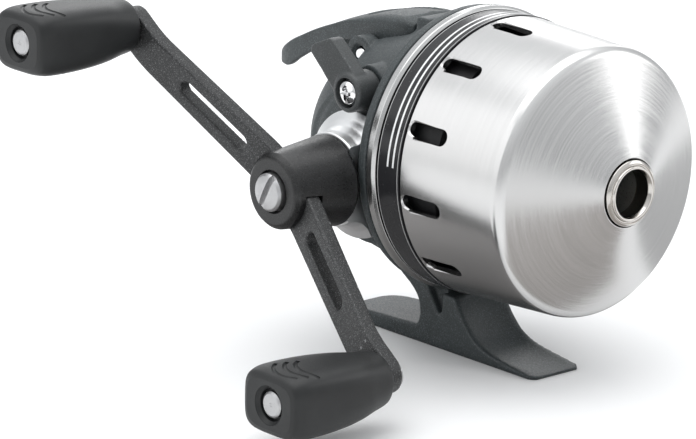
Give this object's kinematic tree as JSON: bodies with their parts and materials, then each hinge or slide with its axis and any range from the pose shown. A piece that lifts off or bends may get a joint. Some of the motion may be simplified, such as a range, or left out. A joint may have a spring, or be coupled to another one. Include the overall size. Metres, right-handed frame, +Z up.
{
  "type": "spincast reel",
  "caption": "Closed-face fishing reel with a slotted cover, a two-knob crank handle, a thumb lever, an anti-reverse lever and a reel foot.",
  "frame": {"origin": "centre of the flat underside of the reel foot", "axes": "+X forwards along the spool axis to the nose, -Y the handle side, +Z up away from the foot"},
  "size_m": [0.1114, 0.1166, 0.0773],
  "materials": {
    "grey_paint": "dark grey fine-textured paint",
    "satin_aluminium": "satin, turned",
    "polished_metal": "polished",
    "band_black": "gloss black with thin white lines",
    "black_satin": "satin black",
    "soft_black": "soft-touch",
    "steel": "machined",
    "brass": "machined",
    "spool_grey": "anodised"
  },
  "bodies": {
    "frame": {"body_housing": "grey_paint", "trim_ring": "polished_metal", "deck_plate": "black_satin", "deck_screw_1": "steel", "deck_screw_2": "steel", "deck_screw_3": "steel", "left_side_plate": "polished_metal", "right_side_plate": "polished_metal", "dust_cap": "black_satin", "left_shaft_bearing": "steel", "right_shaft_bearing": "steel", "pinion_bearing": "steel", "thumb_lever_pin": "polished_metal", "pawl_pin": "steel", "shaft_spring": "steel"},
    "crank": {"drive_shaft": "steel", "drive_gear": "brass", "ratchet_wheel": "steel", "shaft_spacer": "brass", "shaft_clip": "steel", "handle_hub": "black_satin", "handle_arm": "grey_paint", "handle_screw": "polished_metal", "knob_pin_upper": "polished_metal", "knob_pin_lower": "polished_metal"},
    "upper_knob": {"knob_upper": "soft_black"},
    "lower_knob": {"knob_lower": "soft_black"},
    "pinion": {"pinion_gear": "brass"},
    "rotor": {"main_shaft": "steel", "shaft_collar": "steel", "rotor_cup": "satin_aluminium", "rotor_nut": "brass"},
    "pickup": {"pickup_pin": "steel"},
    "carrier": {"spool_carrier": "black_satin"},
    "spool_drum": {"spool": "spool_grey", "drag_washer": "brass", "spool_clip": "steel"},
    "cover": {"front_cover": "satin_aluminium", "band_sleeve": "band_black", "nose_ring": "polished_metal"},
    "thumb": {"thumb_lever": "grey_paint", "thumb_lever_arm": "steel"},
    "anti_reverse": {"anti_reverse_lever": "black_satin", "anti_reverse_screw": "polished_metal", "anti_reverse_finger": "steel"},
    "pawl": {"anti_reverse_pawl": "steel"},
    "drag_wheel": {"drag_dial": "black_satin", "drag_stem": "steel"},
    "drag_brake": {"drag_shoe": "brass"}
  },
  "joints": [
    {"name": "crank_spin", "type": "hinge", "parent": "frame", "child": "crank", "pos_m": [-0.0086, 0, 0.0407], "axis": [0, -1, 0], "continuous": true},
    {"name": "upper_knob_spin", "type": "hinge", "parent": "crank", "child": "upper_knob", "pos_m": [-0.05063, -0.0696, 0.07046], "axis": [0, -1, 0], "continuous": true},
    {"name": "lower_knob_spin", "type": "hinge", "parent": "crank", "child": "lower_knob", "pos_m": [0.03343, -0.0696, 0.01094], "axis": [0, -1, 0], "continuous": true},
    {"name": "pinion_spin", "type": "hinge", "parent": "frame", "child": "pinion", "pos_m": [0, 0, 0.0453], "axis": [1, 0, 0], "continuous": true},
    {"name": "shaft_push", "type": "slide", "parent": "pinion", "child": "rotor", "axis": [1, 0, 0], "range_m": [0, 0.003]},
    {"name": "pickup_retract", "type": "slide", "parent": "rotor", "child": "pickup", "axis": [0, 0, -1], "range_m": [0, 0.0019]},
    {"name": "spool_shuttle", "type": "slide", "parent": "frame", "child": "carrier", "axis": [1, 0, 0], "range_m": [0, 0.002]},
    {"name": "spool_spin", "type": "hinge", "parent": "carrier", "child": "spool_drum", "pos_m": [0.019, 0, 0.0453], "axis": [1, 0, 0], "continuous": true},
    {"name": "cover_pull", "type": "slide", "parent": "frame", "child": "cover", "axis": [1, 0, 0], "range_m": [0, 0.06]},
    {"name": "thumb_press", "type": "hinge", "parent": "frame", "child": "thumb", "pos_m": [-0.0216, 0, 0.0633], "axis": [0, -1, 0], "range_deg": [0, 9.5], "stiffness_Nm_per_rad": 0.4, "springref_deg": -11.46, "deforming": ["shaft_spring"]},
    {"name": "anti_reverse_switch", "type": "hinge", "parent": "frame", "child": "anti_reverse", "pos_m": [-0.0073, -0.0265, 0.0598], "axis": [0, 1, 0], "range_deg": [0, 35]},
    {"name": "pawl_lift", "type": "hinge", "parent": "frame", "child": "pawl", "pos_m": [-0.0196, -0.0107, 0.0513], "axis": [0, -1, 0], "range_deg": [0, 8.8]},
    {"name": "drag_turn", "type": "hinge", "parent": "frame", "child": "drag_wheel", "pos_m": [-0.003, 0, 0.0663], "axis": [1, 0, 0], "range_deg": [-150, 150]},
    {"name": "drag_shoe_push", "type": "slide", "parent": "frame", "child": "drag_brake", "axis": [1, 0, 0], "range_m": [-0.0003, 0.0003]}
  ],
  "couplings": [
    {"joint": "pinion_spin", "follows": "crank_spin", "ratio": -4.3},
    {"joint": "shaft_push", "follows": "thumb_press", "m_per_rad": 0.018},
    {"joint": "pickup_retract", "follows": "thumb_press", "m_per_rad": 0.0114},
    {"joint": "pawl_lift", "follows": "anti_reverse_switch", "ratio": 0.25},
    {"joint": "drag_shoe_push", "follows": "drag_turn", "m_per_rad": 0.0001145}
  ]
}
